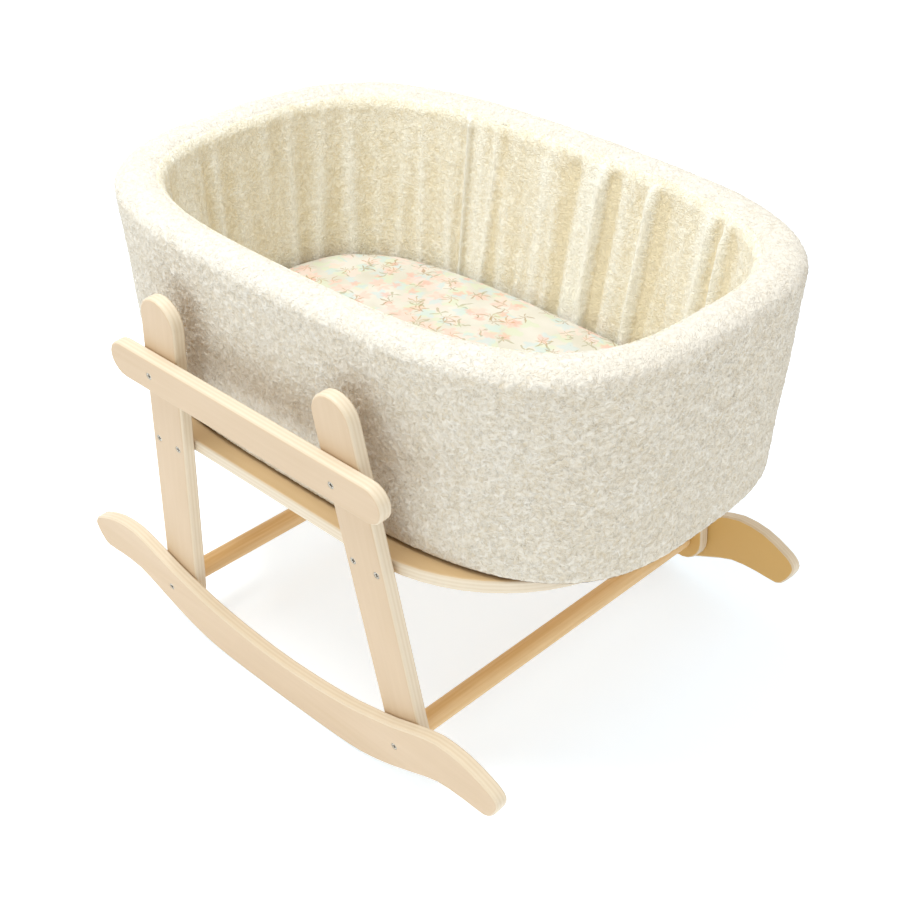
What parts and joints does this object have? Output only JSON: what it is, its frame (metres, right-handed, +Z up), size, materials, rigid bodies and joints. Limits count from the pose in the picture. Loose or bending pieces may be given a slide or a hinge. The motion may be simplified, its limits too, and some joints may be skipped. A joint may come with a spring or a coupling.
{
  "type": "bassinet on rocking stand",
  "caption": "Oval padded bassinet basket with a mattress, resting on a screwed plywood rocking stand of splayed legs, side rails, round stretchers and curved rockers.",
  "frame": {"origin": "on the floor under the middle of the bassinet, at the rockers' lowest line", "axes": "+X along the bassinet to its foot end, +Y across it towards the right-hand side frame, +Z up"},
  "size_m": [0.853, 0.6848, 0.6114],
  "materials": {
    "leg_l_head_ply": "clear sealed birch plywood, layered edges",
    "leg_l_foot_ply": "clear sealed birch plywood, layered edges",
    "leg_r_head_ply": "clear sealed birch plywood, layered edges",
    "leg_r_foot_ply": "clear sealed birch plywood, layered edges",
    "rail_l_ply": "clear sealed birch plywood, layered edges",
    "rail_r_ply": "clear sealed birch plywood, layered edges",
    "rocker_l_ply": "clear sealed birch plywood, layered edges",
    "rocker_r_ply": "clear sealed birch plywood, layered edges",
    "stretcher_head_dowel": "clear sealed round beech dowel",
    "stretcher_foot_dowel": "clear sealed round beech dowel",
    "base_board_ply": "clear sealed birch plywood, layered edges",
    "board_screw_l_head_inner_zinc": "zinc plated countersunk cross-head screw",
    "board_screw_l_head_outer_zinc": "zinc plated countersunk cross-head screw",
    "rail_screw_l_head_zinc": "zinc plated countersunk cross-head screw",
    "rocker_screw_l_head_zinc": "zinc plated countersunk cross-head screw",
    "board_screw_l_foot_inner_zinc": "zinc plated countersunk cross-head screw",
    "board_screw_l_foot_outer_zinc": "zinc plated countersunk cross-head screw",
    "rail_screw_l_foot_zinc": "zinc plated countersunk cross-head screw",
    "rocker_screw_l_foot_zinc": "zinc plated countersunk cross-head screw",
    "board_screw_r_head_inner_zinc": "zinc plated countersunk cross-head screw",
    "board_screw_r_head_outer_zinc": "zinc plated countersunk cross-head screw",
    "rail_screw_r_head_zinc": "zinc plated countersunk cross-head screw",
    "rocker_screw_r_head_zinc": "zinc plated countersunk cross-head screw",
    "board_screw_r_foot_inner_zinc": "zinc plated countersunk cross-head screw",
    "board_screw_r_foot_outer_zinc": "zinc plated countersunk cross-head screw",
    "rail_screw_r_foot_zinc": "zinc plated countersunk cross-head screw",
    "rocker_screw_r_foot_zinc": "zinc plated countersunk cross-head screw",
    "outer_cover_boucle": "cream boucle with short knobbly loops",
    "basket_floor_hardboard": "plain brown panel, hidden",
    "wall_pad_foam": "soft foam padding, hidden",
    "lining_teddy": "short-curled warm cream teddy fabric, lightly gathered",
    "mattress_print": "off-white cotton with small pastel sprigs"
  },
  "bodies": {
    "stand": {"leg_l_head": "leg_l_head_ply", "leg_l_foot": "leg_l_foot_ply", "leg_r_head": "leg_r_head_ply", "leg_r_foot": "leg_r_foot_ply", "rail_l": "rail_l_ply", "rail_r": "rail_r_ply", "rocker_l": "rocker_l_ply", "rocker_r": "rocker_r_ply", "stretcher_head": "stretcher_head_dowel", "stretcher_foot": "stretcher_foot_dowel", "base_board": "base_board_ply", "board_screw_l_head_inner": "board_screw_l_head_inner_zinc", "board_screw_l_head_outer": "board_screw_l_head_outer_zinc", "rail_screw_l_head": "rail_screw_l_head_zinc", "rocker_screw_l_head": "rocker_screw_l_head_zinc", "board_screw_l_foot_inner": "board_screw_l_foot_inner_zinc", "board_screw_l_foot_outer": "board_screw_l_foot_outer_zinc", "rail_screw_l_foot": "rail_screw_l_foot_zinc", "rocker_screw_l_foot": "rocker_screw_l_foot_zinc", "board_screw_r_head_inner": "board_screw_r_head_inner_zinc", "board_screw_r_head_outer": "board_screw_r_head_outer_zinc", "rail_screw_r_head": "rail_screw_r_head_zinc", "rocker_screw_r_head": "rocker_screw_r_head_zinc", "board_screw_r_foot_inner": "board_screw_r_foot_inner_zinc", "board_screw_r_foot_outer": "board_screw_r_foot_outer_zinc", "rail_screw_r_foot": "rail_screw_r_foot_zinc", "rocker_screw_r_foot": "rocker_screw_r_foot_zinc"},
    "basket": {"outer_cover": "outer_cover_boucle", "basket_floor": "basket_floor_hardboard", "wall_pad": "wall_pad_foam", "lining": "lining_teddy"},
    "mattress": {"mattress": "mattress_print"}
  },
  "joints": [
    {"name": "basket_lift", "type": "slide", "parent": "stand", "child": "basket", "axis": [0, 0, 1], "range_m": [0, 0.35]},
    {"name": "mattress_lift", "type": "slide", "parent": "basket", "child": "mattress", "axis": [0, 0, 1], "range_m": [0, 0.3]}
  ]
}
